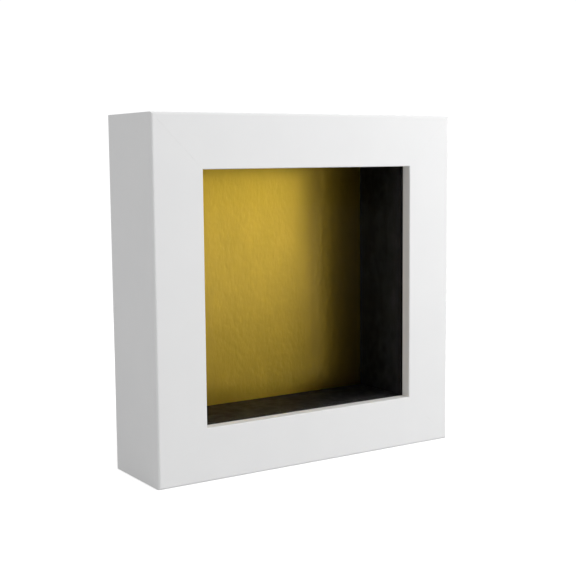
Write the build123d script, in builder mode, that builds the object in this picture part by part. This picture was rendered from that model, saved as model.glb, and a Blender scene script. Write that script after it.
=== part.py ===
from build123d import *
from math import sqrt
import os

# A square shadow box: a deep mitred frame round a glazed display cavity.
#
# From the front to the back the frame holds a glass pane behind its lip, four black spacer strips
# that line the cavity, a gold board that is its back wall, and a back panel. Turn buttons hold the
# panel in. A sawtooth hanger and two bumpers let the box hang on a wall, and it also stands on its
# base. Millimetres, +X to the viewer's right, +Y from the front to the back, +Z up. The origin is
# the middle of the frame's base, halfway through its depth.

os.makedirs("parts", exist_ok=True)

# The frame moulding
side = 170.0  # outer width and height
depth = 45.5  # front face to rear face
face_width = 25.5  # a rail's face, from its outer side to the opening
lip_width = 5.5  # how far the lip stands in over the rebate
lip_depth = 5.5  # thickness of the lip
outer_front_radius = 1.2
lip_front_radius = 0.5
rear_edge_radius = 0.6

# The stack behind the lip
pane_thickness = 2.0
board_thickness = 0.5
panel_thickness = 2.0
sheet_clearance = 0.3  # round the pane, the board and the panel in the rebate
pane_edge_chamfer = 0.2
panel_edge_chamfer = 0.3

# Pan-head screws: the shank bites into a smaller pilot hole
screw_point_share = 1.6  # length of the point, of the shank's radius
head_round_share = 0.75  # of the head's height
button_screw_shank_radius = 1.45
button_screw_pilot_radius = 1.1
button_screw_length = 12.0
button_screw_head_radius = 2.9
button_screw_head_height = 1.6
hanger_screw_shank_radius = 1.1
hanger_screw_pilot_radius = 0.8
hanger_screw_length = 8.0
hanger_screw_head_radius = 2.0
hanger_screw_head_height = 1.1
recess_depth_share = 0.6  # of the head's height
recess_width_share = 0.26  # of the head's radius
recess_length_share = 1.25  # of the head's radius

# Turn buttons, two on each side rail
button_thickness = 1.0
button_gap = 0.1  # under the button, and between it and the screw's head
button_eye_radius = 4.5
button_tip_radius = 3.2
button_reach = 18.0  # pivot to tip
button_flat_reach = 13.0  # pivot to the start of the lifted tip
button_tip_lift = 0.9
button_edge_radius = 0.25
button_pivot_clearance = 0.05
button_pivot_inset = 8.0  # from the rebate
button_spacing = 76.0

# Sawtooth hanger, in the middle of the top rail
hanger_length = 44.0
hanger_height = 10.0
hanger_thickness = 0.8
hanger_rise = 2.2  # how far the toothed middle stands off the rail
hanger_raised_half = 13.0
hanger_slope_run = 2.5
hanger_corner_radius = 2.5
hanger_screw_spacing = 37.0
tooth_pitch = 2.2
tooth_count = 9
tooth_depth = 1.2

# V-nails that pull the mitres together, two at each corner
v_nail_thickness = 0.5
v_nail_leg = 4.5
v_nail_angle = 50.0  # between a leg and the mitre
v_nail_height = 10.0
v_nail_sink = 0.15
v_nail_places = (0.3, 0.7)  # along the mitre of the wall

# Bumpers at the back's lower corners
bumper_radius = 4.0
bumper_height = 3.0
bumper_edge_radius = 0.9

# Derived sizes and places
opening = side - 2 * face_width
wall = face_width - lip_width
rebate = side - 2 * wall
sheet_side = rebate - 2 * sheet_clearance
front = -depth / 2
rear = depth / 2
pane_front = front + lip_depth
spacer_front = pane_front + pane_thickness
panel_front = rear - panel_thickness
board_front = panel_front - board_thickness
centre = Vector(0, 0, side / 2)
bottom, right, top, left = Vector(0, 0, -1), Vector(1, 0, 0), Vector(0, 0, 1), Vector(-1, 0, 0)

# The rear face as it is seen from behind: x to the viewer's right, y up, from the frame's centre
rear_face = Plane(origin=centre + Vector(0, rear, 0), x_dir=left, z_dir=(0, 1, 0))
button_pivot = rebate / 2 + button_pivot_inset
hanger_middle = side / 2 - wall / 2
button_rows = {"lower": -button_spacing / 2, "upper": button_spacing / 2}
left_pivots = [(button_pivot, row) for row in button_rows.values()]
right_pivots = [(-button_pivot, row) for row in button_rows.values()]
hanger_screw_points = [(x, hanger_middle) for x in (-hanger_screw_spacing / 2, hanger_screw_spacing / 2)]


def export(part, name):
    """Labels a finished piece and writes it."""
    part.label = name
    export_step(part, f"parts/{name}.step")


def v_nail_legs():
    """Draws every V-nail's outline into the current sketch on the rear face."""
    for share in v_nail_places:
        with PolarLocations((side / 2 - share * wall) * sqrt(2), 4, start_angle=45):
            for angle in (180 - v_nail_angle, 180 + v_nail_angle):
                Rectangle(v_nail_leg, v_nail_thickness, rotation=angle, align=(Align.MIN, Align.CENTER))


def make_rail(outward, screw_points=(), pilot_radius=0.0, pilot_depth=0.0):
    """One rail, whose outer side faces outward, with mitred ends, nail kerfs and pilot holes."""
    along = outward.cross(Vector(0, 1, 0))
    with BuildPart() as rail:
        with BuildSketch(Plane(origin=centre, x_dir=outward, z_dir=along)) as section:
            with BuildLine():
                Polyline(
                    (opening / 2, front),
                    (side / 2, front),
                    (side / 2, rear),
                    (rebate / 2, rear),
                    (rebate / 2, pane_front),
                    (opening / 2, pane_front),
                    close=True,
                )
            make_face()
            fillet(section.vertices().group_by(Axis.Y)[0].sort_by(Axis.X)[-1], outer_front_radius)
            fillet(section.vertices().group_by(Axis.Y)[0].sort_by(Axis.X)[0], lip_front_radius)
            fillet(section.vertices().group_by(Axis.Y)[-1].sort_by(Axis.X)[-1], rear_edge_radius)
        extrude(amount=side / 2, both=True)
        for end in (along, -along):
            split(bisect_by=Plane(origin=centre, z_dir=outward - end), keep=Keep.TOP)
        with BuildSketch(rear_face):
            v_nail_legs()
        extrude(amount=-v_nail_height, mode=Mode.SUBTRACT)
        if screw_points:
            with BuildSketch(rear_face):
                with Locations(*screw_points):
                    Circle(pilot_radius)
            extrude(amount=-pilot_depth, mode=Mode.SUBTRACT)
    return rail.part


def make_sheet(near, thickness, edge_chamfer=0.0):
    """A square sheet in the rebate, with its front at y = near."""
    with BuildPart() as sheet:
        with BuildSketch(Plane(origin=centre + Vector(0, near, 0), x_dir=right, z_dir=(0, -1, 0))):
            Rectangle(sheet_side, sheet_side)
        extrude(amount=-thickness)
        if edge_chamfer:
            chamfer(sheet.faces().sort_by(Axis.Y)[-1].edges(), edge_chamfer)
            chamfer(sheet.faces().sort_by(Axis.Y)[0].edges(), edge_chamfer)
    return sheet.part


def make_spacer(outward, length):
    """A strip against one wall of the rebate, between the pane and the board, flush with the lip."""
    along = outward.cross(Vector(0, 1, 0))
    spacer_middle = (spacer_front + board_front) / 2
    with BuildPart() as spacer:
        with BuildSketch(Plane(origin=centre, x_dir=outward, z_dir=along)):
            with Locations((opening / 2 + lip_width / 2, spacer_middle)):
                Rectangle(lip_width, board_front - spacer_front)
        extrude(amount=length / 2, both=True)
    return spacer.part


def make_screws(points, seat, length, shank_radius, head_radius, head_height):
    """Pan-head screws in the rear face, their heads' undersides at y = seat, as one group."""
    point_length = shank_radius * screw_point_share
    with BuildPart() as screws:
        for across, up in points:
            origin = centre + Vector(-across, seat, up)
            with BuildSketch(Plane(origin=origin, x_dir=right, z_dir=top)) as half_section:
                with BuildLine():
                    Polyline(
                        (0, -length),
                        (shank_radius, point_length - length),
                        (shank_radius, 0),
                        (head_radius, 0),
                        (head_radius, head_height),
                        (0, head_height),
                        close=True,
                    )
                make_face()
                rim = half_section.vertices().group_by(Axis.Y)[-1].sort_by(Axis.X)[-1]
                fillet(rim, head_height * head_round_share)
            revolve(axis=Axis(origin, (0, 1, 0)))
        with BuildSketch(rear_face.offset(seat - rear + head_height)):
            with Locations(*points):
                Rectangle(head_radius * recess_length_share, head_radius * recess_width_share)
                Rectangle(head_radius * recess_width_share, head_radius * recess_length_share)
        extrude(amount=-head_height * recess_depth_share, mode=Mode.SUBTRACT)
    return screws.part


def make_turn_button(across, up, inward):
    """A steel button on its pivot, which points inward over the back panel, with a lifted tip."""
    pivot = centre + Vector(-across, rear + button_gap, up)
    lift = Vector(0, button_tip_lift)
    tip, bend, eye = Vector(button_reach, 0), Vector(button_flat_reach, 0), Vector(-button_eye_radius, 0)
    thick = Vector(0, button_thickness)
    with BuildPart() as button:
        with BuildSketch(Plane(origin=pivot, x_dir=inward, z_dir=inward.cross(Vector(0, 1, 0)))):
            with BuildLine():
                Polyline(eye, bend, tip + lift, tip + lift + thick, bend + thick, eye + thick, close=True)
            make_face()
        extrude(amount=button_eye_radius, both=True)
        with BuildSketch(Plane(origin=pivot, x_dir=inward, z_dir=(0, 1, 0))) as outline:
            Circle(button_eye_radius)
            with Locations((button_reach - button_tip_radius, 0)):
                Circle(button_tip_radius)
            make_hull()
            Circle(button_screw_shank_radius + button_pivot_clearance, mode=Mode.SUBTRACT)
        extrude(amount=button_tip_lift + button_thickness, mode=Mode.INTERSECT)
        upper_face = button.faces().filter_by(Axis.Y).sort_by(Axis.Y)[-1]
        fillet(upper_face.outer_wire().edges().filter_by(GeomType.CIRCLE), button_edge_radius)
    return button.part


# Four mitred rails
export(make_rail(bottom), "frame_rail_bottom")
export(
    make_rail(top, hanger_screw_points, hanger_screw_pilot_radius, hanger_screw_length),
    "frame_rail_top",
)
export(
    make_rail(left, left_pivots, button_screw_pilot_radius, button_screw_length),
    "frame_rail_left",
)
export(
    make_rail(right, right_pivots, button_screw_pilot_radius, button_screw_length),
    "frame_rail_right",
)

# V-nails across the mitres, one group
with BuildPart() as v_nails:
    with BuildSketch(rear_face.offset(-v_nail_sink)):
        v_nail_legs()
    extrude(amount=v_nail_sink - v_nail_height)
export(v_nails.part, "mitre_v_nails")

# The stack in the rebate
export(make_sheet(pane_front, pane_thickness, pane_edge_chamfer), "glass_pane")
export(make_spacer(bottom, rebate), "spacer_bottom")
export(make_spacer(top, rebate), "spacer_top")
export(make_spacer(left, opening), "spacer_left")
export(make_spacer(right, opening), "spacer_right")
export(make_sheet(board_front, board_thickness), "gold_board")
export(make_sheet(panel_front, panel_thickness, panel_edge_chamfer), "back_panel")

# Turn buttons and their screws
for row_name, row in button_rows.items():
    export(make_turn_button(button_pivot, row, right), f"turn_button_left_{row_name}")
    export(make_turn_button(-button_pivot, row, left), f"turn_button_right_{row_name}")
button_screws = make_screws(
    left_pivots + right_pivots,
    rear + 2 * button_gap + button_thickness,
    button_screw_length,
    button_screw_shank_radius,
    button_screw_head_radius,
    button_screw_head_height,
)
export(button_screws, "turn_button_screws")

# The sawtooth hanger: a strip bent out in the middle, with teeth along the middle's lower edge
hanger_bottom = centre.Z + hanger_middle - hanger_height / 2
rail_side = [
    (-hanger_length / 2, rear),
    (-hanger_raised_half - hanger_slope_run, rear),
    (-hanger_raised_half, rear + hanger_rise),
    (hanger_raised_half, rear + hanger_rise),
    (hanger_raised_half + hanger_slope_run, rear),
    (hanger_length / 2, rear),
]
wall_side = [(x, y + hanger_thickness) for x, y in reversed(rail_side)]
with BuildPart() as hanger:
    with BuildSketch(Plane.XY.offset(hanger_bottom)):
        with BuildLine():
            Polyline(*rail_side, *wall_side, close=True)
        make_face()
    extrude(amount=hanger_height)
    upright_ends = hanger.edges().filter_by(Axis.Y)
    fillet(upright_ends, hanger_corner_radius)
    with BuildSketch(rear_face):
        with Locations((0, hanger_middle - hanger_height / 2)):
            with GridLocations(tooth_pitch, 0, tooth_count, 1):
                Polygon((-tooth_pitch / 2, 0), (tooth_pitch / 2, 0), (0, tooth_depth), align=None)
        with Locations(*hanger_screw_points):
            Circle(hanger_screw_shank_radius)
    extrude(amount=hanger_rise + hanger_thickness, mode=Mode.SUBTRACT)
export(hanger.part, "sawtooth_hanger")
hanger_screws = make_screws(
    hanger_screw_points,
    rear + hanger_thickness,
    hanger_screw_length,
    hanger_screw_shank_radius,
    hanger_screw_head_radius,
    hanger_screw_head_height,
)
export(hanger_screws, "hanger_screws")

# Bumpers in the middle of the lower corners
for name, across in (("bumper_left", wall / 2 - side / 2), ("bumper_right", side / 2 - wall / 2)):
    with BuildPart() as bumper:
        with BuildSketch(Plane(origin=(across, rear, wall / 2), x_dir=right, z_dir=(0, 1, 0))):
            Circle(bumper_radius)
        extrude(amount=bumper_height)
        fillet(bumper.faces().sort_by(Axis.Y)[-1].edges(), bumper_edge_radius)
    export(bumper.part, name)
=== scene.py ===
"""The looks of a square shadow box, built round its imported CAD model.

Metres, in the CAD frame: +X to the viewer's right, +Y from the front to the back, +Z up. Every
piece is made here from a few sizes of the CAD nodes, and stands in their place.
"""

import math

import bmesh
import bpy
from mathutils import Matrix, Vector, noise


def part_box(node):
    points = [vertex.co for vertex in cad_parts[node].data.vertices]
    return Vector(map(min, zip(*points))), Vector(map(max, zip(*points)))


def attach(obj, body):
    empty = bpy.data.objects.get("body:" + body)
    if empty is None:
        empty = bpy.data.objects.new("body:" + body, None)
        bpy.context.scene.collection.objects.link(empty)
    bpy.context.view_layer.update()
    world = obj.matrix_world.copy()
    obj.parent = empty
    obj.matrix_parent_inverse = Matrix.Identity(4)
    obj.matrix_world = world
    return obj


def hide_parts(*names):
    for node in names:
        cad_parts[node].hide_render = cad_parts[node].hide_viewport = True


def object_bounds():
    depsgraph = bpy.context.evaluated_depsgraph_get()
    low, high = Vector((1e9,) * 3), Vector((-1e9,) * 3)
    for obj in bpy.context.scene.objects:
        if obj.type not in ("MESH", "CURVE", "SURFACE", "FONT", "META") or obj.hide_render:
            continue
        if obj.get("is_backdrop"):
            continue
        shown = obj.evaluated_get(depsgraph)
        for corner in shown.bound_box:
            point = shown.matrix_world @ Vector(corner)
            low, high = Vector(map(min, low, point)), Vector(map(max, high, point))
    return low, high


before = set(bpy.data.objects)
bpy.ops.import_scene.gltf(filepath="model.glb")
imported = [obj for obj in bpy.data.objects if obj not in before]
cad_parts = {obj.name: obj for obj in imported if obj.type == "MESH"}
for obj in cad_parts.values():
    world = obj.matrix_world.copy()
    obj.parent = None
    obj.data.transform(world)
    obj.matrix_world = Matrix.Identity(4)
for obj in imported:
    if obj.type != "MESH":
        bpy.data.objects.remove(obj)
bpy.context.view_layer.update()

MM = 0.001
ARC_STEPS = 8
SHARP_ANGLE = math.radians(32)  # between two faces, from which their edge is sharp
X, Y, Z = Vector((1, 0, 0)), Vector((0, 1, 0)), Vector((0, 0, 1))

# ---------------------------------------------------------------- sizes, from the CAD nodes

rail_low, rail_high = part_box("frame_rail_bottom")
pane_low, pane_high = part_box("glass_pane")
board_low, board_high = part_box("gold_board")
panel_low, panel_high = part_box("back_panel")
spacer_low, spacer_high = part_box("spacer_bottom")
hanger_low, hanger_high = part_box("sawtooth_hanger")
nails_low, nails_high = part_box("mitre_v_nails")

SIDE = rail_high.x - rail_low.x
FRONT, REAR = rail_low.y, rail_high.y
FACE_WIDTH = rail_high.z
OPENING_HALF = SIDE / 2 - FACE_WIDTH
REBATE_HALF = spacer_high.x
CENTRE = Vector((0, 0, SIDE / 2))

# The outward direction of each rail and spacer, from the centre of the frame
OUTWARD = {"bottom": -Z, "right": X, "top": Z, "left": -X}

# ---------------------------------------------------------------- materials

WRAP_WHITE = ((0.815, 0.817, 0.820), (0.830, 0.831, 0.833))
FIBREBOARD_BROWN = ((0.300, 0.190, 0.105), (0.470, 0.330, 0.200))
# The card's black in painted shade at the back, and in painted light at the front
CARD_BLACK_SHADE_AND_LIGHT = ((0.0030, 0.0030, 0.0034), (0.0240, 0.0236, 0.0255))
CARD_PAINTED_LIGHT = (0.31, 0.65)  # painted light and shade between the two blacks: darker at the back, lighter at the front where light comes in
CARD_PAINTED_LIGHT_POWER = 2.4  # how late the painted light comes on, from back to front
CARD_PATCHES = 0.12  # how far the rubbed patches shift it either way
FOIL_GOLD = ((0.760, 0.492, 0.044), (0.840, 0.546, 0.052))
HARDBOARD_BROWN = ((0.125, 0.068, 0.034), (0.190, 0.108, 0.056))
ZINC_GREY = ((0.560, 0.570, 0.580), (0.720, 0.725, 0.730))
RUBBER_BLACK = ((0.018, 0.018, 0.018), (0.034, 0.034, 0.033))
PAPER_GREY = ((0.42, 0.40, 0.37), (0.52, 0.50, 0.47))
NOISE_SPAN = (0.3, 0.7)  # where most of a noise texture's values are


class Material:
    """A Principled material whose sockets are driven by noise in the CAD frame's coordinates."""

    def __init__(self, name):
        self.made = bpy.data.materials.new(name)
        self.made.use_nodes = True
        self.tree = self.made.node_tree
        self.shader = self.tree.nodes["Principled BSDF"]
        self.place = self.tree.nodes.new("ShaderNodeTexCoord").outputs["Object"]

    def node(self, kind, **inputs):
        """A node with its inputs set or linked. An input's name may have spaces as underscores."""
        made = self.tree.nodes.new(kind)
        for name, value in inputs.items():
            self.feed(made.inputs[name.replace("_", " ")], value)
        return made

    def feed(self, socket, value):
        """Links a socket to another, or sets it to a plain value."""
        if isinstance(value, bpy.types.NodeSocket):
            self.tree.links.new(value, socket)
        else:
            socket.default_value = value

    def ramp(self, value, start, end, low=0.0, high=1.0, is_eased=False):
        """Goes from low to high as value goes from start to end."""
        made = self.node(
            "ShaderNodeMapRange", Value=value, From_Min=start, From_Max=end, To_Min=low, To_Max=high
        )
        if is_eased:
            made.interpolation_type = "SMOOTHSTEP"
        return made.outputs[0]

    def maths(self, operation, first, second):
        """The result of an operation on two values."""
        made = self.tree.nodes.new("ShaderNodeMath")
        made.operation = operation
        self.feed(made.inputs[0], first)
        self.feed(made.inputs[1], second)
        return made.outputs[0]

    def mix(self, share, first, second):
        """A mix of two shader nodes: the first at a share of 0, the second at 1."""
        made = self.node("ShaderNodeMixShader", Fac=share)
        self.feed(made.inputs[1], first.outputs[0])
        self.feed(made.inputs[2], second.outputs[0])
        return made

    def add(self, first, second):
        """The sum of two shader nodes."""
        made = self.tree.nodes.new("ShaderNodeAddShader")
        self.feed(made.inputs[0], first.outputs[0])
        self.feed(made.inputs[1], second.outputs[0])
        return made

    def surface(self, shader):
        """Makes a shader node the material's surface."""
        self.feed(self.tree.nodes["Material Output"].inputs["Surface"], shader.outputs[0])

    def cloud(self, size, detail=3.0, stretch=(1, 1, 1)):
        """Noise from 0 to 1 with features of about size metres, longer where stretch is more."""
        squeeze = [1 / factor for factor in stretch]
        where = self.node("ShaderNodeMapping", Vector=self.place, Scale=squeeze)
        return self.node(
            "ShaderNodeTexNoise", Vector=where.outputs[0], Scale=1 / size, Detail=detail
        ).outputs["Fac"]

    def spread(self, value, low, high):
        """Noise, most of which is in NOISE_SPAN, spread over low to high."""
        return self.ramp(value, *NOISE_SPAN, low, high)

    def colour(self, value, shades):
        """Colours the surface between two shades, by noise."""
        ramp = self.tree.nodes.new("ShaderNodeValToRGB")
        self.feed(ramp.inputs["Fac"], value)
        for stop, place, shade in zip(ramp.color_ramp.elements, NOISE_SPAN, shades):
            stop.position = place
            stop.color = (*shade, 1)
        self.feed(self.shader.inputs["Base Color"], ramp.outputs["Color"])

    def bump(self, *layers):
        """Relief from (noise, height in metres) layers, each on top of the one before."""
        normal = None
        for value, height in layers:
            relief = self.node("ShaderNodeBump", Height=value, Distance=height, Strength=1.0)
            if normal is not None:
                self.feed(relief.inputs["Normal"], normal)
            normal = relief.outputs[0]
        self.feed(self.shader.inputs["Normal"], normal)

    def set(self, **inputs):
        """Sets or links the shader's own sockets."""
        for name, value in inputs.items():
            self.feed(self.shader.inputs[name.replace("_", " ")], value)


def make_white_wrap():
    """Satin white foil wrap: a faint mottle, and the fine tooth of the fibreboard under it."""
    wrap = Material("white_wrap")
    wrap.colour(wrap.cloud(24 * MM, 3), WRAP_WHITE)
    wrap.set(Roughness=wrap.spread(wrap.cloud(2 * MM), 0.42, 0.54))
    wrap.bump((wrap.cloud(3 * MM), 0.004 * MM), (wrap.cloud(0.4 * MM, 2), 0.003 * MM))
    return wrap.made


def make_fibreboard():
    """Bare sawn fibreboard, paler fibres in a brown ground."""
    board = Material("fibreboard")
    board.colour(board.cloud(0.7 * MM, 6, (2, 2, 1)), FIBREBOARD_BROWN)
    board.set(Roughness=board.spread(board.cloud(3 * MM), 0.78, 0.92))
    board.bump((board.cloud(0.5 * MM, 4), 0.04 * MM))
    return board.made


def make_black_card():
    """Matt black card with a fine tooth and rubbed patches, painted lighter towards the front where
    light comes in, and darker towards the back in painted shade.
    """
    card = Material("black_card")
    # Painted light and shade: the card's colour goes from dark at the back to lighter at the front,
    # by depth
    depth = card.node("ShaderNodeSeparateXYZ", Vector=card.place).outputs["Y"]
    nearness = card.ramp(depth, spacer_high.y, spacer_low.y)
    painted_light_share = card.maths("POWER", nearness, CARD_PAINTED_LIGHT_POWER)
    level = card.ramp(painted_light_share, 0, 1, *CARD_PAINTED_LIGHT)
    patches = card.spread(card.cloud(6 * MM, 5), -CARD_PATCHES, CARD_PATCHES)
    shade = card.maths("ADD", level, patches)
    card.colour(shade, CARD_BLACK_SHADE_AND_LIGHT)
    card.set(Roughness=card.spread(card.cloud(4 * MM, 4), 0.55, 0.75), Specular_IOR_Level=0.08)
    card.bump((card.cloud(2.5 * MM, 4), 0.03 * MM), (card.cloud(0.4 * MM), 0.012 * MM))
    return card.made


def make_gold_foil():
    """Semi-gloss lacquered gold foil, laid on card whose tooth shows through as upright ripples."""
    foil = Material("gold_foil")
    foil.colour(foil.cloud(14 * MM, 3, (1, 1, 2)), FOIL_GOLD)
    foil.set(Metallic=1.0, Roughness=foil.spread(foil.cloud(5 * MM), 0.285, 0.315))
    foil.set(Coat_Weight=0.7, Coat_Roughness=0.15, Coat_IOR=1.5)
    foil.bump((foil.cloud(2.0 * MM, 3, (1, 1, 1.6)), 0.10 * MM))
    foil.set(Coat_Normal=foil.shader.inputs["Normal"].links[0].from_socket)
    return foil.made


def make_paper():
    """Uncoated grey paper: the foil board's back and edges."""
    paper = Material("grey_paper")
    paper.colour(paper.cloud(1.5 * MM, 5), PAPER_GREY)
    paper.set(Roughness=paper.spread(paper.cloud(3 * MM), 0.8, 0.95))
    paper.bump((paper.cloud(0.5 * MM), 0.01 * MM))
    return paper.made


def make_hardboard():
    """Tempered hardboard, smooth side out: dark brown with pressed fibres."""
    board = Material("hardboard")
    board.colour(board.cloud(1.1 * MM, 6, (2.5, 1, 1)), HARDBOARD_BROWN)
    board.set(Roughness=board.spread(board.cloud(9 * MM, 4), 0.38, 0.58))
    board.bump((board.cloud(1.0 * MM, 5), 0.012 * MM))
    return board.made


def make_zinc():
    """Bright zinc plate on pressed steel, with rolling lines and a faint crystal mottle."""
    zinc = Material("zinc_plate")
    zinc.colour(zinc.cloud(1.8 * MM), ZINC_GREY)
    zinc.set(Metallic=1.0, Roughness=zinc.spread(zinc.cloud(0.8 * MM, 4, (6, 1, 1)), 0.24, 0.42))
    zinc.bump((zinc.cloud(0.5 * MM, 2), 0.003 * MM))
    return zinc.made


def make_rubber():
    """Matt moulded rubber."""
    rubber = Material("rubber")
    rubber.colour(rubber.cloud(1.2 * MM), RUBBER_BLACK)
    rubber.set(Roughness=rubber.spread(rubber.cloud(0.6 * MM), 0.62, 0.8))
    rubber.bump((rubber.cloud(0.3 * MM), 0.01 * MM))
    return rubber.made


def make_clear_glass():
    """Low-reflection picture glass, which lets the lamps through."""
    glass = Material("clear_glass")
    glass.colour(glass.cloud(30 * MM), ((0.985, 0.995, 0.990), (0.995, 1.0, 0.998)))
    glass.set(Roughness=0.0, IOR=1.09, Transmission_Weight=1.0)
    lit = glass.node("ShaderNodeBsdfTransparent", Color=(0.98, 0.99, 0.985, 1))
    path = glass.tree.nodes.new("ShaderNodeLightPath")
    glass.surface(glass.mix(path.outputs["Is Shadow Ray"], glass.shader, lit))
    return glass.made


white_wrap = make_white_wrap()
fibreboard = make_fibreboard()
black_card = make_black_card()
gold_foil = make_gold_foil()
grey_paper = make_paper()
hardboard = make_hardboard()
zinc_plate = make_zinc()
rubber = make_rubber()
clear_glass = make_clear_glass()

# ---------------------------------------------------------------- mesh tools


def round_corners(corners):
    """A closed outline from corners of (x, y, radius, finish): points, and the finish after each.

    finish is the material slot of the stretch that follows the corner.
    """
    points, finishes = [], []
    for index, (x, y, radius, finish) in enumerate(corners):
        corner = Vector((x, y))
        before = (Vector(corners[index - 1][:2]) - corner).normalized()
        after = (Vector(corners[(index + 1) % len(corners)][:2]) - corner).normalized()
        turned = [corner]
        if radius:
            half = before.angle(after) / 2
            middle = corner + (before + after).normalized() * radius / math.sin(half)
            first = (corner + before * radius / math.tan(half) - middle).normalized()
            last = (corner + after * radius / math.tan(half) - middle).normalized()
            shares = [step / ARC_STEPS for step in range(ARC_STEPS + 1)]
            turned = [middle + first.slerp(last, share) * radius for share in shares]
        points += turned
        finishes += [finish] * len(turned)
    return points, finishes


def circle(radius, across=0.0, up=0.0, sides=48):
    """A circle's points, as an outline."""
    turns = [2 * math.pi * step / sides for step in range(sides)]
    return [
        Vector((across + radius * math.cos(turn), up + radius * math.sin(turn))) for turn in turns
    ]


def inset(points, amount):
    """A closed outline moved inward by amount, or outward if it is below 0."""
    pairs = list(zip(points[-1:] + points[:-1], points, points[1:] + points[:1]))
    area = sum(here.x * after.y - after.x * here.y for before, here, after in pairs)
    moved = []
    for before, here, after in pairs:
        along = (here - before).normalized() + (after - here).normalized()
        inward = Vector((-along.y, along.x)) / 2 * math.copysign(1, area)
        moved.append(here + inward * amount / inward.length_squared)
    return moved


def ring(mesh, points):
    """A ring of new vertices."""
    return [mesh.verts.new(point) for point in points]


def bridge(mesh, first, second, finishes=None):
    """Faces between two rings of as many points."""
    for index in range(len(first)):
        after = (index + 1) % len(first)
        face = mesh.faces.new((first[index], first[after], second[after], second[index]))
        face.material_index = finishes[index] if finishes else 0


def cap(mesh, rings, finish=0):
    """A flat face between rings: the first is its outline and the others are its holes."""
    edges = [
        mesh.edges.get((around[index - 1], around[index]))
        for around in rings
        for index in range(len(around))
    ]
    made = bmesh.ops.triangle_fill(mesh, use_beauty=True, edges=edges)
    for part in made["geom"]:
        if isinstance(part, bmesh.types.BMFace):
            part.material_index = finish


def wall(mesh, outline, thickness, edge_radius, is_hole=False):
    """A plate's side, from z = 0 to thickness, with both its edges rounded. Its end rings."""
    steps = [math.pi / 2 * step / (ARC_STEPS // 2) for step in range(ARC_STEPS // 2 + 1)]
    eased = [
        (edge_radius * (1 - math.sin(turn)), edge_radius * (1 - math.cos(turn))) for turn in steps
    ]
    levels = eased + [(inward, thickness - height) for inward, height in reversed(eased)]
    rings = []
    for inward, height in levels:
        outline_here = inset(outline, -inward if is_hole else inward)
        rings.append(ring(mesh, [(point.x, point.y, height) for point in outline_here]))
    for low, high in zip(rings, rings[1:]):
        bridge(mesh, low, high)
    return rings[0], rings[-1]


def make_plate(outline, thickness, edge_radius, holes=()):
    """A flat plate from z = 0 to thickness, with holes."""
    mesh = bmesh.new()
    ends = [wall(mesh, outline, thickness, edge_radius)]
    ends += [wall(mesh, hole, thickness, edge_radius, is_hole=True) for hole in holes]
    cap(mesh, [low for low, high in ends])
    cap(mesh, [high for low, high in ends])
    return mesh


def bend(mesh, places, lift):
    """Cuts the mesh across at each place along x, and then raises each point by lift(x)."""
    for across in places:
        everything = mesh.verts[:] + mesh.edges[:] + mesh.faces[:]
        bmesh.ops.bisect_plane(mesh, geom=everything, plane_co=(across, 0, 0), plane_no=X)
    for vert in mesh.verts:
        vert.co.z += lift(vert.co.x)


def lathe(mesh, rings_of, sides=48):
    """A solid of revolution about Z. rings_of is (radius, height) from pole to pole; a radius may
    also be a function of the turn from 0 to 1."""
    before = None
    for radius, height in rings_of:
        if not callable(radius) and radius == 0:
            here = [mesh.verts.new((0, 0, height))]
        else:
            turns = [step / sides for step in range(sides)]
            radii = [radius(turn) if callable(radius) else radius for turn in turns]
            here = ring(
                mesh,
                [
                    (r * math.cos(2 * math.pi * turn), r * math.sin(2 * math.pi * turn), height)
                    for r, turn in zip(radii, turns)
                ],
            )
        if before is not None and len(before) == len(here):
            bridge(mesh, before, here)
        elif before is not None:
            pole, around = (before[0], here) if len(before) == 1 else (here[0], before)
            for index in range(sides):
                mesh.faces.new((pole, around[index - 1], around[index]))
        before = here


def axes(origin, x_axis, z_axis):
    """The matrix that puts a mesh's own X and Z along two directions of the CAD frame."""
    y_axis = z_axis.cross(x_axis)
    turn = Matrix((x_axis, y_axis, z_axis)).transposed().to_4x4()
    return Matrix.Translation(origin) @ turn


def join(mesh, other, at):
    """Adds other to mesh, placed by the matrix at."""
    other.transform(at)
    data = bpy.data.meshes.new("part")
    other.to_mesh(data)
    other.free()
    mesh.from_mesh(data)
    bpy.data.meshes.remove(data)


def to_object(name, mesh, materials):
    """A scene object from a mesh, which is freed."""
    bmesh.ops.recalc_face_normals(mesh, faces=mesh.faces)
    data = bpy.data.meshes.new(name)
    mesh.to_mesh(data)
    mesh.free()
    for material in materials:
        data.materials.append(material)
    made = bpy.data.objects.new(name, data)
    bpy.context.scene.collection.objects.link(made)
    return made


def cut(target, cutter):
    """Takes cutter's volume out of target, and deletes cutter."""
    difference = target.modifiers.new("cut", "BOOLEAN")
    difference.operation = "DIFFERENCE"
    difference.solver = "EXACT"
    difference.object = cutter
    evaluated = target.evaluated_get(bpy.context.evaluated_depsgraph_get())
    data = bpy.data.meshes.new_from_object(evaluated)
    target.modifiers.clear()
    target.data = data
    bpy.data.objects.remove(cutter)


def finish_piece(piece, body, slot, *nodes):
    """Shades a finished piece, and puts it in its CAD nodes' place."""
    piece.data.polygons.foreach_set("use_smooth", [True] * len(piece.data.polygons))
    piece.data.set_sharp_from_angle(angle=SHARP_ANGLE)
    shading = piece.modifiers.new("weighted_normals", "WEIGHTED_NORMAL")
    shading.keep_sharp = True
    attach(piece, body)
    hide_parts(*nodes)
    return piece


# ---------------------------------------------------------------- V-nails

NAIL_THICKNESS = 0.5 * MM
NAIL_LEG = 4.5 * MM
NAIL_ANGLE = math.radians(50)  # between a leg and the mitre
NAIL_PLACES = (0.3, 0.7)  # along the mitre of the rebate's wall
WALL = SIDE / 2 - REBATE_HALF
NAIL_TOP, NAIL_FOOT = nails_high.y, nails_low.y
CUT_OVER = 0.5 * MM  # how far a cutter runs past the surface that it cuts


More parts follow.
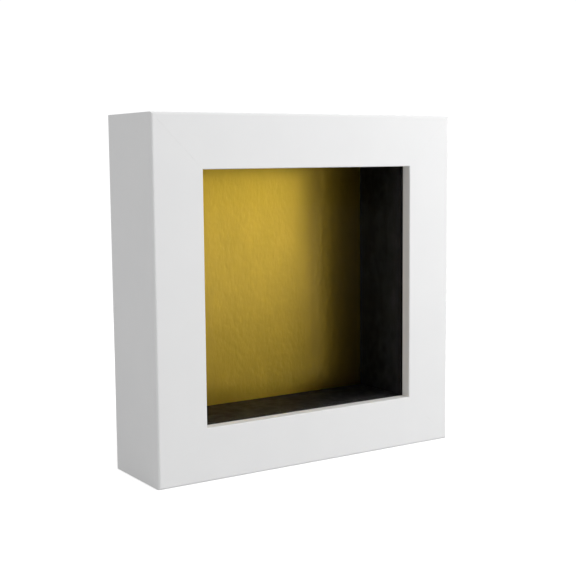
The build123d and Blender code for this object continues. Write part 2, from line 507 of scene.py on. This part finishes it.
def nail_places():
    """Each V-nail's apex and the direction of its mitre outward, in the frame's own plane."""
    for share in NAIL_PLACES:
        for across, up in ((1, 1), (-1, 1), (-1, -1), (1, -1)):
            reach = SIDE / 2 - share * WALL
            yield Vector((across * reach, 0, up * reach)), Vector((across, 0, up)).normalized()


def nail_legs(apex, outward):
    """The directions of a V-nail's two legs, back from the apex, at its angle to the mitre."""
    for side in (-1, 1):
        yield Matrix.Rotation(side * NAIL_ANGLE, 3, "Y") @ -outward


def make_bar(start, along, length, width, low, high):
    """A square-edged upright bar whose long axis lies in the frame's plane."""
    mesh = bmesh.new()
    across = along.cross(Y) * width / 2
    end = start + along * length
    corners = [start - across, start + across, end + across, end - across]
    rings = [
        ring(mesh, [CENTRE + corner + Y * depth for corner in corners]) for depth in (low, high)
    ]
    bridge(mesh, *rings)
    cap(mesh, rings[:1])
    cap(mesh, rings[1:])
    return mesh


def make_v_nails():
    """Eight V-shaped steel nails, with legs that thin to an edge at the foot."""
    nails = bmesh.new()
    edge = 0.15 * MM
    foot_bevel = 1.5 * MM
    for apex, outward in nail_places():
        first, second = nail_legs(apex, outward)
        outline = []
        for depth, width in (
            (NAIL_FOOT, edge),
            (NAIL_FOOT + foot_bevel, NAIL_THICKNESS),
            (NAIL_TOP, NAIL_THICKNESS),
        ):
            spread = width / 2 / math.sin(NAIL_ANGLE)
            first_side, second_side = first.cross(Y) * width / 2, second.cross(Y) * width / 2
            outline.append([
                apex + outward * spread,
                apex + first * NAIL_LEG - first_side,
                apex + first * NAIL_LEG + first_side,
                apex - outward * spread,
                apex + second * NAIL_LEG - second_side,
                apex + second * NAIL_LEG + second_side,
            ])
            outline[-1] = [CENTRE + point + Y * depth for point in outline[-1]]
        rings = [ring(nails, level) for level in outline]
        for low, high in zip(rings, rings[1:]):
            bridge(nails, low, high)
        cap(nails, rings[:1])
        cap(nails, rings[-1:])
    piece = to_object("corner_v_nails", nails, [zinc_plate])
    finish_piece(piece, "box", "zinc_steel", "mitre_v_nails")


# ---------------------------------------------------------------- frame rails

OUTER_FRONT_RADIUS = 1.2 * MM
LIP_FRONT_RADIUS = 0.5 * MM
REAR_RADIUS = 0.6 * MM
WRAP_THICKNESS = 0.06 * MM  # less than the gap under the turn buttons
WRAP_TURN = 4.0 * MM  # how far the wrap turns onto the rear face
MITRE_EASE = 0.04 * MM  # each rail's cut edge, which leaves a hairline at the mitre
RAIL_STATIONS = (-1, -0.5, 0, 0.5, 1)
WRAP, CORE = 0, 1


def rail_section():
    """A rail's section: x is out from the frame's centre, y is the depth."""
    outer, wrap_end, wrap_top = SIDE / 2, SIDE / 2 - WRAP_TURN, REAR + WRAP_THICKNESS
    return round_corners([
        (OPENING_HALF, pane_low.y, 0, WRAP),
        (OPENING_HALF, FRONT, LIP_FRONT_RADIUS, WRAP),
        (outer, FRONT, OUTER_FRONT_RADIUS, WRAP),
        (outer, wrap_top, REAR_RADIUS, WRAP),
        (wrap_end, wrap_top, WRAP_THICKNESS / 2, WRAP),
        (wrap_end, REAR, 0, CORE),
        (REBATE_HALF, REAR, 0.3 * MM, CORE),
        (REBATE_HALF, pane_low.y, 0, CORE),
    ])


def make_rail(side, outward):
    """A rail of wrapped moulding, mitred at both ends, with the nails' kerfs in its rear face."""
    section, finishes = rail_section()
    along = outward.cross(Y)

    def level(points, share, ease):
        return [
            CENTRE + outward * point.x + Y * point.y + along * share * (point.x - ease)
            for point in points
        ]

    rail = bmesh.new()
    eased = inset(section, MITRE_EASE)
    rings = [ring(rail, level(section, share, MITRE_EASE)) for share in RAIL_STATIONS]
    rings = [ring(rail, level(eased, -1, 0)), *rings, ring(rail, level(eased, 1, 0))]
    for low, high in zip(rings, rings[1:]):
        bridge(rail, low, high, finishes)
    cap(rail, rings[:1], CORE)
    cap(rail, rings[-1:], CORE)
    rail = to_object(f"white_rail_{side}", rail, [white_wrap, fibreboard])
    kerfs = bmesh.new()
    for apex, mitre in nail_places():
        for leg in nail_legs(apex, mitre):
            if leg.cross(mitre).dot(outward.cross(mitre)) > 0 and mitre.dot(outward) > 0:
                start = apex - leg * CUT_OVER
                kerf = make_bar(
                    start, leg, NAIL_LEG + CUT_OVER, NAIL_THICKNESS, NAIL_FOOT, REAR + CUT_OVER
                )
                join(kerfs, kerf, Matrix.Identity(4))
    for face in kerfs.faces:
        face.material_index = CORE
    cut(rail, to_object("kerfs", kerfs, [white_wrap, fibreboard]))
    finish_piece(rail, "box", "white_moulding", f"frame_rail_{side}")


# ---------------------------------------------------------------- sheets and spacers

RIPPLE = 0.025 * MM  # the foil's own ripples
RIPPLE_SIZE = 3.2 * MM
RIPPLE_STRETCH = 2.4  # how much longer a ripple is than it is wide
RIPPLE_ROUGHNESS, RIPPLE_GAP, RIPPLE_OCTAVES = 0.6, 2.0, 3
BOARD_CELLS = 150
PANE_EASING = (0.2 * MM, 0.6 * MM)  # radii of a sheet's edges and corners
PANEL_EASING = (0.3 * MM, 0.8 * MM)


def make_gold_board():
    """The foil board, whose front is a fine grid with the foil's ripples in it."""
    board = bmesh.new()

    def foil_point(column, row):
        across = board_low.x + (board_high.x - board_low.x) * column / BOARD_CELLS
        up = board_low.z + (board_high.z - board_low.z) * row / BOARD_CELLS
        where = Vector((across, 0, up / RIPPLE_STRETCH)) / RIPPLE_SIZE
        ripple = RIPPLE * noise.fractal(where, RIPPLE_ROUGHNESS, RIPPLE_GAP, RIPPLE_OCTAVES)
        return Vector((across, board_low.y + ripple, up))

    cells = range(BOARD_CELLS + 1)
    grid = [[board.verts.new(foil_point(column, row)) for column in cells] for row in cells]
    for low, high in zip(grid, grid[1:]):
        for index in range(BOARD_CELLS):
            board.faces.new((low[index], low[index + 1], high[index + 1], high[index]))
    right, left = [row[-1] for row in grid[:-1]], [row[0] for row in grid[:0:-1]]
    edge = grid[0][:-1] + right + grid[-1][:0:-1] + left
    back = ring(board, [(vert.co.x, board_high.y, vert.co.z) for vert in edge])
    bridge(board, edge, back, [1] * len(edge))
    cap(board, [back], 1)
    piece = to_object("gold_foil_board", board, [gold_foil, grey_paper])
    finish_piece(piece, "box", "gold_foil_board", "gold_board")


def make_square_sheet(name, low, high, edge_radius, corner_radius, material, slot, node):
    """A flat square sheet in the rebate."""
    half = (high.x - low.x) / 2
    corners = [(-half, -half), (half, -half), (half, half), (-half, half)]
    outline, _ = round_corners([(x, y, corner_radius, 0) for x, y in corners])
    plate = make_plate(outline, high.y - low.y, edge_radius)
    plate.transform(axes(CENTRE + Y * low.y, X, Y))
    finish_piece(to_object(name, plate, [material]), "box", slot, node)


SPACER_EDGE = 0.35 * MM
SPACER_BOW = 0.22 * MM  # how much a card strip's face wanders
SPACER_BOW_SIZE = 38 * MM
SPACER_STATIONS = 40
SPACER_COLUMNS = 10


def make_spacer(side, outward):
    """A strip of black card on its core, whose face isn't quite flat."""
    low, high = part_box(f"spacer_{side}")
    along = outward.cross(Y)
    half = max(abs((high - CENTRE).dot(along)), abs((low - CENTRE).dot(along)))
    near, far = low.y, high.y
    face = [near + (far - near) * (step + 0.5) / SPACER_COLUMNS for step in range(SPACER_COLUMNS)]
    section, _ = round_corners([
        (REBATE_HALF, near, SPACER_EDGE, 0),
        (OPENING_HALF, near, SPACER_EDGE, 0),
        *[(OPENING_HALF, depth, 0, 0) for depth in face],
        (OPENING_HALF, far, SPACER_EDGE, 0),
        (REBATE_HALF, far, SPACER_EDGE, 0),
    ])
    spacer = bmesh.new()
    rings = []
    for station in range(SPACER_STATIONS + 1):
        share = 2 * station / SPACER_STATIONS - 1
        points = []
        for point in inset(section, SPACER_EDGE / 2) if abs(share) == 1 else section:
            reach = share * half if abs(share) == 1 else share * (half - SPACER_EDGE / 2)
            where = CENTRE + outward * point.x + Y * point.y + along * reach
            thinness = (REBATE_HALF - point.x) / (REBATE_HALF - OPENING_HALF)
            bow = SPACER_BOW * (0.5 + 0.5 * noise.noise(where / SPACER_BOW_SIZE))
            points.append(where + outward * bow * thinness)
        rings.append(ring(spacer, points))
    for first, second in zip(rings, rings[1:]):
        bridge(spacer, first, second)
    cap(spacer, rings[:1])
    cap(spacer, rings[-1:])
    piece = to_object(f"black_spacer_{side}", spacer, [black_card])
    finish_piece(piece, "box", "black_spacer", f"spacer_{side}")


# ---------------------------------------------------------------- hardware

SCREW_SIDES = 36
SCREW_POINT_SHARE = 1.6  # length of the point, of the shank's radius
SCREW_TURN, SCREW_TURN_STEP = 0.5, 1.1  # how the first recess is turned, and each one more
THREAD_PITCH = 1.1 * MM
THREAD_STEPS = 6  # rings in one turn of thread
RECESS_DEPTH_SHARE = 0.6  # of the head's height
RECESS_LENGTH_SHARE = 1.25  # of the head's radius, as the rest
RECESS_WIDTH_SHARE = 0.28
RECESS_TAPER = 0.6
HEAD_ROUND_SHARE = 0.75  # of the head's height


def make_recess(head_radius, head_height):
    """A cross recess as a solid, wider at the top than at its foot."""
    mesh = bmesh.new()
    long, wide = head_radius * RECESS_LENGTH_SHARE / 2, head_radius * RECESS_WIDTH_SHARE / 2
    quarter = [(long, -wide), (long, wide), (wide, wide)]
    plus = []
    for turn in range(4):
        plus += [Matrix.Rotation(turn * math.pi / 2, 2) @ Vector(point) for point in quarter]
    over = CUT_OVER / (head_height * RECESS_DEPTH_SHARE)
    rings = []
    for share in (1, -over):
        size = 1 + (RECESS_TAPER - 1) * share
        height = head_height * (1 - RECESS_DEPTH_SHARE * share)
        rings.append(ring(mesh, [(point.x * size, point.y * size, height) for point in plus]))
    bridge(mesh, *rings)
    cap(mesh, rings[:1])
    cap(mesh, rings[1:])
    return mesh


def make_screw(length, shank_radius, core_radius, head_radius, head_height):
    """A pan-head screw along Z, its head's underside at z = 0, with a cut thread on its shank."""
    point_length = shank_radius * SCREW_POINT_SHARE
    ring_count = round(length / THREAD_PITCH * THREAD_STEPS)

    def threaded(height):
        taper = min(1, (height + length) / point_length)
        turns = height / THREAD_PITCH

        def radius(turn):
            crest = abs(2 * ((turns + turn) % 1) - 1) ** 2
            return (core_radius + (shank_radius - core_radius) * crest) * taper

        return radius

    heights = [-length + length * step / ring_count for step in range(1, ring_count)]
    around = head_height * HEAD_ROUND_SHARE
    dome = [
        (head_radius - around * (1 - math.cos(turn)), head_height - around * (1 - math.sin(turn)))
        for turn in (math.pi / 2 * step / ARC_STEPS for step in range(ARC_STEPS + 1))
    ]
    mesh = bmesh.new()
    lathe(
        mesh,
        [(0, -length), *[(threaded(height), height) for height in heights]]
        + [(shank_radius, 0), (head_radius, 0), *dome, (0, head_height)],
        SCREW_SIDES,
    )
    return mesh


def make_screw_group(name, node, points, seat, length, radii, head_height):
    """Screws in the rear face, as one piece."""
    group, recesses = bmesh.new(), bmesh.new()
    shank_radius, core_radius, head_radius = radii
    for index, (across, up) in enumerate(points):
        turn = SCREW_TURN_STEP * index + SCREW_TURN
        turned = X * math.cos(turn) + Z * math.sin(turn)
        at = axes(Vector((across, seat, up)), turned, Y)
        join(group, make_screw(length, shank_radius, core_radius, head_radius, head_height), at)
        join(recesses, make_recess(head_radius, head_height), at)
    piece = to_object(name, group, [zinc_plate])
    cut(piece, to_object("recesses", recesses, [zinc_plate]))
    finish_piece(piece, "box", "zinc_steel", node)


BUTTON_EYE_RADIUS = 4.5 * MM
BUTTON_TIP_RADIUS = 3.2 * MM
BUTTON_HOLE_RADIUS = 1.5 * MM
BUTTON_THICKNESS = 1.0 * MM
BUTTON_FLAT_REACH = 13 * MM
BUTTON_TIP_LIFT = 0.9 * MM
BUTTON_EDGE = 0.25 * MM
BUTTON_SCREW_SEAT = 1.2 * MM  # the head's underside, off the frame's rear face
BUTTON_SCREW_LENGTH = 12 * MM
BUTTON_SCREW_RADII = (1.45 * MM, 1.0 * MM, 2.9 * MM)  # of the thread, its core and the head
BUTTON_SCREW_HEAD_HEIGHT = 1.6 * MM


def make_turn_button(side, row):
    """A pressed steel turn button: an eye round its screw, and an arm with a lifted tip."""
    node = f"turn_button_{side}_{row}"
    low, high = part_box(node)
    inward = X if side == "left" else -X
    pivot_x = low.x + BUTTON_EYE_RADIUS if side == "left" else high.x - BUTTON_EYE_RADIUS
    reach = high.x - low.x - BUTTON_EYE_RADIUS
    tip = reach - BUTTON_TIP_RADIUS
    lean = math.acos((BUTTON_EYE_RADIUS - BUTTON_TIP_RADIUS) / tip)
    outline = []
    for centre, radius, start, end in (
        (0, BUTTON_EYE_RADIUS, lean, 2 * math.pi - lean),
        (tip, BUTTON_TIP_RADIUS, -lean, lean),
    ):
        for step in range(4 * ARC_STEPS + 1):
            turn = start + (end - start) * step / (4 * ARC_STEPS)
            outline.append(Vector((centre + radius * math.cos(turn), radius * math.sin(turn))))
    button = make_plate(outline, BUTTON_THICKNESS, BUTTON_EDGE, [circle(BUTTON_HOLE_RADIUS)])

    def lift(across):
        share = max(0, (across - BUTTON_FLAT_REACH) / (reach - BUTTON_FLAT_REACH))
        return BUTTON_TIP_LIFT * share * min(1, 0.5 + share / 2)

    cuts = [BUTTON_FLAT_REACH + (reach - BUTTON_FLAT_REACH) * step / 8 for step in range(8)]
    bend(button, cuts, lift)
    button.transform(axes(Vector((pivot_x, low.y, (low.z + high.z) / 2)), inward, Y))
    finish_piece(to_object(f"button_{side}_{row}", button, [zinc_plate]), node, "zinc_steel", node)


HANGER_THICKNESS = 0.8 * MM
HANGER_RAISED_HALF = 13 * MM
HANGER_SLOPE_RUN = 2.5 * MM
HANGER_CORNER_RADIUS = 2.5 * MM
HANGER_EDGE = 0.12 * MM
HANGER_SCREW_HALF = 18.5 * MM
HANGER_HOLE_RADIUS = 1.1 * MM
HANGER_SCREW_LENGTH = 8 * MM
HANGER_SCREW_RADII = (1.1 * MM, 0.8 * MM, 2.0 * MM)
HANGER_SCREW_HEAD_HEIGHT = 1.1 * MM
TOOTH_PITCH = 2.2 * MM
TOOTH_COUNT = 9
TOOTH_DEPTH = 1.2 * MM


def make_hanger():
    """The sawtooth hanger: a pressed strip with a raised middle and teeth along its lower edge."""
    half_length = (hanger_high.x - hanger_low.x) / 2
    half_height = (hanger_high.z - hanger_low.z) / 2
    rise = hanger_high.y - hanger_low.y - HANGER_THICKNESS
    tip_radius = 0.12 * MM
    corners = [(-half_length, -half_height, HANGER_CORNER_RADIUS, 0)]
    for tooth in range(TOOTH_COUNT):
        middle = (tooth - (TOOTH_COUNT - 1) / 2) * TOOTH_PITCH
        if tooth == 0:
            corners.append((middle - TOOTH_PITCH / 2, -half_height, tip_radius, 0))
        corners.append((middle, TOOTH_DEPTH - half_height, tip_radius, 0))
        corners.append((middle + TOOTH_PITCH / 2, -half_height, tip_radius, 0))
    corners += [
        (half_length, -half_height, HANGER_CORNER_RADIUS, 0),
        (half_length, half_height, HANGER_CORNER_RADIUS, 0),
        (-half_length, half_height, HANGER_CORNER_RADIUS, 0),
    ]
    outline, _ = round_corners(corners)
    screw_places = (-HANGER_SCREW_HALF, HANGER_SCREW_HALF)
    holes = [circle(HANGER_HOLE_RADIUS, across) for across in screw_places]
    strip = make_plate(outline, HANGER_THICKNESS, HANGER_EDGE, holes)

    def lift(across):
        share = (HANGER_RAISED_HALF + HANGER_SLOPE_RUN - abs(across)) / HANGER_SLOPE_RUN
        share = min(1, max(0, share))
        return rise * share * share * (3 - 2 * share)

    slope = [HANGER_RAISED_HALF + HANGER_SLOPE_RUN * step / 8 for step in range(9)]
    bend(strip, [-across for across in slope] + slope, lift)
    middle = Vector((0, hanger_low.y, (hanger_low.z + hanger_high.z) / 2))
    strip.transform(axes(middle, -X, Y))
    piece = to_object("hanger_strip", strip, [zinc_plate])
    finish_piece(piece, "box", "zinc_steel", "sawtooth_hanger")


BUMPER_EDGE = 0.9 * MM


def make_bumper(side):
    """A moulded rubber bumper with a rounded rim and a shallow dish in its face."""
    low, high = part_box(f"bumper_{side}")
    radius, height = (high.x - low.x) / 2, high.y - low.y
    foot_flare = 0.15 * MM
    rim = [
        (radius - BUMPER_EDGE * (1 - math.cos(turn)), height - BUMPER_EDGE * (1 - math.sin(turn)))
        for turn in (math.pi / 2 * step / ARC_STEPS for step in range(ARC_STEPS + 1))
    ]
    dish = [(radius * 0.5, height), (radius * 0.4, height - 0.08 * MM), (0, height - 0.12 * MM)]
    bumper = bmesh.new()
    lathe(bumper, [(0, 0), (radius, 0), (radius, foot_flare), *rim, *dish], 64)
    bumper.transform(axes(Vector(((low.x + high.x) / 2, low.y, (low.z + high.z) / 2)), X, Y))
    piece = to_object(f"rubber_bumper_{side}", bumper, [rubber])
    finish_piece(piece, "box", "bumper_rubber", f"bumper_{side}")


# ---------------------------------------------------------------- the box

make_v_nails()
for side, outward in OUTWARD.items():
    make_rail(side, outward)
    make_spacer(side, outward)
make_square_sheet(
    "clear_pane", pane_low, pane_high, *PANE_EASING, clear_glass, "clear_glass", "glass_pane"
)
make_gold_board()
make_square_sheet(
    "hardboard_back", panel_low, panel_high, *PANEL_EASING, hardboard, "hardboard", "back_panel"
)
button_pivots = []
for side in ("left", "right"):
    for row in ("lower", "upper"):
        make_turn_button(side, row)
        low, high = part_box(f"turn_button_{side}_{row}")
        pivot_x = low.x + BUTTON_EYE_RADIUS if side == "left" else high.x - BUTTON_EYE_RADIUS
        button_pivots.append((pivot_x, (low.z + high.z) / 2))
make_screw_group(
    "pivot_screws",
    "turn_button_screws",
    button_pivots,
    REAR + BUTTON_SCREW_SEAT,
    BUTTON_SCREW_LENGTH,
    BUTTON_SCREW_RADII,
    BUTTON_SCREW_HEAD_HEIGHT,
)
make_hanger()
hanger_screw_height = (hanger_low.z + hanger_high.z) / 2
make_screw_group(
    "hanger_screw_pair",
    "hanger_screws",
    [(across, hanger_screw_height) for across in (-HANGER_SCREW_HALF, HANGER_SCREW_HALF)],
    REAR + HANGER_THICKNESS,
    HANGER_SCREW_LENGTH,
    HANGER_SCREW_RADII,
    HANGER_SCREW_HEAD_HEIGHT,
)
make_bumper("left")
make_bumper("right")

# ---------------------------------------------------------------- camera

# The camera stands to the front left of the box and looks a little down at it. Its place is in
# box widths from the front lower left corner.
CAMERA_WIDTHS = Vector((-1.2924, -2.6501, 0.8779))
CAMERA_YAW = math.radians(32.78)
CAMERA_PITCH = math.radians(-6.564)
CAMERA_ROLL = math.radians(0.520)
LENS_MM = 70.615
SENSOR_MM = 36.0


def make_camera():
    """The one camera, with its roll, and no shift or depth of field."""
    forward = Vector((
        math.sin(CAMERA_YAW) * math.cos(CAMERA_PITCH),
        math.cos(CAMERA_YAW) * math.cos(CAMERA_PITCH),
        math.sin(CAMERA_PITCH),
    ))
    level_right = Vector((math.cos(CAMERA_YAW), -math.sin(CAMERA_YAW), 0))
    level_down = forward.cross(level_right)
    right = math.cos(CAMERA_ROLL) * level_right + math.sin(CAMERA_ROLL) * level_down
    down = math.cos(CAMERA_ROLL) * level_down - math.sin(CAMERA_ROLL) * level_right
    turn = Matrix((right, -down, -forward)).transposed().to_4x4()
    data = bpy.data.cameras.new("camera")
    data.lens = LENS_MM
    data.sensor_width = SENSOR_MM
    data.clip_start = 0.01
    camera = bpy.data.objects.new("camera", data)
    corner = Vector((-SIDE / 2, FRONT, 0))
    camera.matrix_world = Matrix.Translation(corner + CAMERA_WIDTHS * SIDE) @ turn
    bpy.context.scene.collection.objects.link(camera)
    bpy.context.scene.camera = camera


# ---------------------------------------------------------------- floor and light

FLOOR_RADIUS = 3.0
FLOOR_SIDES = 96
FLOOR_CLEAR_FROM, FLOOR_CLEAR_TO = 0.35, 0.75  # where the floor fades into the white round it
FLOOR_SEEN = (0.98, 0.98, 0.98)
FLOOR_GLOW = 0.42  # added to what the camera sees of the table
FLOOR_BOUNCE = (0.58, 0.58, 0.58)
FLOOR_BOUNCE_GLOW = 0.16  # added to what matt surfaces get from the table, near the box
FLOOR_MIRRORED_NEAR, FLOOR_MIRRORED_FAR = 0.10, 0.62  # what shiny surfaces see of it
FLOOR_NEAR, FLOOR_FAR = 0.09, 0.75  # distances from the middle of the box
FLOOR_SIDE_FROM, FLOOR_SIDE_TO = 0.35, 0.75  # along X, of the direction from the box
FLOOR_OTHER_SHARE, FLOOR_SIDE_SHARE = 1.15, 0.45  # of that, elsewhere and on the right
STUDIO_LEFT, STUDIO_RIGHT = 0.455, 0.68  # how bright the studio is on each side of the box
STUDIO_DARK_FROM, STUDIO_DARK_TO = 0.3, -0.5  # along Y, in what shiny surfaces mirror
MIRRORED_DARK = 0.02
STUDIO_WHITE = 1.05  # just over white, so that the ground is even


def make_floor():
    """A white table, which fades into the white backdrop, and bounces less light than it shows.

    The camera sees it lit and glowing. Matt surfaces see a greyer table. Shiny surfaces see a plain
    brightness, which grows with the distance from the box and is less on its right.
    """
    mesh = bmesh.new()
    edge = circle(FLOOR_RADIUS, sides=FLOOR_SIDES)
    mesh.faces.new(ring(mesh, [(point.x, point.y, 0) for point in edge]))
    paint = Material("floor_paint")

    def from_box(operation):
        made = paint.tree.nodes.new("ShaderNodeVectorMath")
        made.operation = operation
        paint.feed(made.inputs[0], paint.place)
        return made.outputs

    distance = from_box("LENGTH")["Value"]
    outward = from_box("NORMALIZE")["Vector"]
    across = paint.node("ShaderNodeSeparateXYZ", Vector=outward).outputs["X"]

    lit = paint.node("ShaderNodeBsdfDiffuse", Color=(*FLOOR_SEEN, 1))
    glow = paint.node("ShaderNodeEmission", Strength=FLOOR_GLOW)
    clear = paint.node("ShaderNodeBsdfTransparent")
    fade = paint.ramp(distance, FLOOR_CLEAR_FROM, FLOOR_CLEAR_TO, is_eased=True)
    seen = paint.mix(fade, paint.add(lit, glow), clear)

    matt = paint.node("ShaderNodeBsdfDiffuse", Color=(*FLOOR_BOUNCE, 1))
    near_glow = paint.ramp(distance, FLOOR_CLEAR_FROM, FLOOR_NEAR, 0, FLOOR_BOUNCE_GLOW)
    bounced = paint.add(matt, paint.node("ShaderNodeEmission", Strength=near_glow))

    level = paint.ramp(distance, FLOOR_NEAR, FLOOR_FAR, FLOOR_MIRRORED_NEAR, FLOOR_MIRRORED_FAR)
    share = paint.ramp(
        across, FLOOR_SIDE_FROM, FLOOR_SIDE_TO, FLOOR_OTHER_SHARE, FLOOR_SIDE_SHARE, is_eased=True
    )
    mirrored = paint.node("ShaderNodeEmission", Strength=paint.maths("MULTIPLY", level, share))

    path = paint.tree.nodes.new("ShaderNodeLightPath")
    is_mirrored = paint.maths("LESS_THAN", path.outputs["Diffuse Depth"], 0.5)
    unseen = paint.mix(is_mirrored, bounced, mirrored)
    paint.surface(paint.mix(path.outputs["Is Camera Ray"], unseen, seen))
    to_object("floor", mesh, [paint.made])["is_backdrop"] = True


def make_studio():
    """White behind the box, and round it a soft grey studio that is brighter on the right.

    What shiny surfaces mirror of it is dark in front of the box, as behind a photographer.
    """
    world = bpy.data.worlds.new("studio")
    world.use_nodes = True
    world.cycles.sampling_method = "NONE"
    tree = world.node_tree
    place = tree.nodes.new("ShaderNodeTexCoord")
    split = tree.nodes.new("ShaderNodeSeparateXYZ")
    tree.links.new(place.outputs["Generated"], split.inputs[0])

    def ramp(axis, *ends):
        level = tree.nodes.new("ShaderNodeMapRange")
        tree.links.new(split.outputs[axis], level.inputs["Value"])
        for name, value in zip(("From Min", "From Max", "To Min", "To Max"), ends):
            level.inputs[name].default_value = value
        return level.outputs[0]

    def mix(share, first, second):
        mixed = tree.nodes.new("ShaderNodeMixShader")
        for socket, source in zip(mixed.inputs, (share, first, second)):
            tree.links.new(source, socket)
        return mixed.outputs[0]

    soft = tree.nodes["Background"]
    tree.links.new(ramp("X", -1, 1, STUDIO_LEFT, STUDIO_RIGHT), soft.inputs["Strength"])
    soft.inputs["Color"].default_value = (1, 1, 1, 1)
    mirrored = tree.nodes.new("ShaderNodeBackground")
    tree.links.new(
        ramp("Y", STUDIO_DARK_TO, STUDIO_DARK_FROM, MIRRORED_DARK, STUDIO_RIGHT),
        mirrored.inputs["Strength"],
    )
    mirrored.inputs["Color"].default_value = (1, 1, 1, 1)
    white = tree.nodes.new("ShaderNodeBackground")
    white.inputs["Color"].default_value = (1, 1, 1, 1)
    white.inputs["Strength"].default_value = STUDIO_WHITE
    path = tree.nodes.new("ShaderNodeLightPath")
    is_mirror = tree.nodes.new("ShaderNodeMath")
    is_mirror.operation = "LESS_THAN"
    tree.links.new(path.outputs["Diffuse Depth"], is_mirror.inputs[0])
    round_box = mix(is_mirror.outputs[0], soft.outputs[0], mirrored.outputs[0])
    all_round = mix(path.outputs["Is Camera Ray"], round_box, white.outputs[0])
    tree.links.new(all_round, tree.nodes["World Output"].inputs["Surface"])
    bpy.context.scene.world = world


def make_softbox(name, place, size, power, is_mirrored=False):
    """A softbox of (width, height) that faces the box.

    One that is_mirrored only shows in shiny surfaces. The others only light what is matt.
    """
    data = bpy.data.lights.new(name, "AREA")
    data.shape = "ELLIPSE" if is_mirrored else "RECTANGLE"
    data.size, data.size_y = size
    data.energy = power
    data.cycles.use_multiple_importance_sampling = False
    lamp = bpy.data.objects.new(name, data)
    lamp.location = place
    lamp.rotation_euler = (CENTRE - Vector(place)).to_track_quat("-Z", "Y").to_euler()
    lamp.visible_camera = False
    lamp.visible_diffuse = not is_mirrored
    lamp.visible_glossy = is_mirrored
    bpy.context.scene.collection.objects.link(lamp)


make_camera()
make_floor()
make_studio()
make_softbox("key_softbox", (0.42, -0.48, 0.42), (0.35, 0.35), 2.6)
make_softbox("overhead_softbox", (0.0, 0.1, 1.4), (1.0, 1.0), 4.0)
make_softbox("left_softbox", (-0.95, -0.35, 0.25), (0.5, 0.5), 0.6)
make_softbox("side_strip", (1.0, -0.68, 0.20), (0.86, 0.28), 3.9, is_mirrored=True)

view = bpy.context.scene.view_settings
view.view_transform = "Standard"
view.look = "None"

low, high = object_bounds()
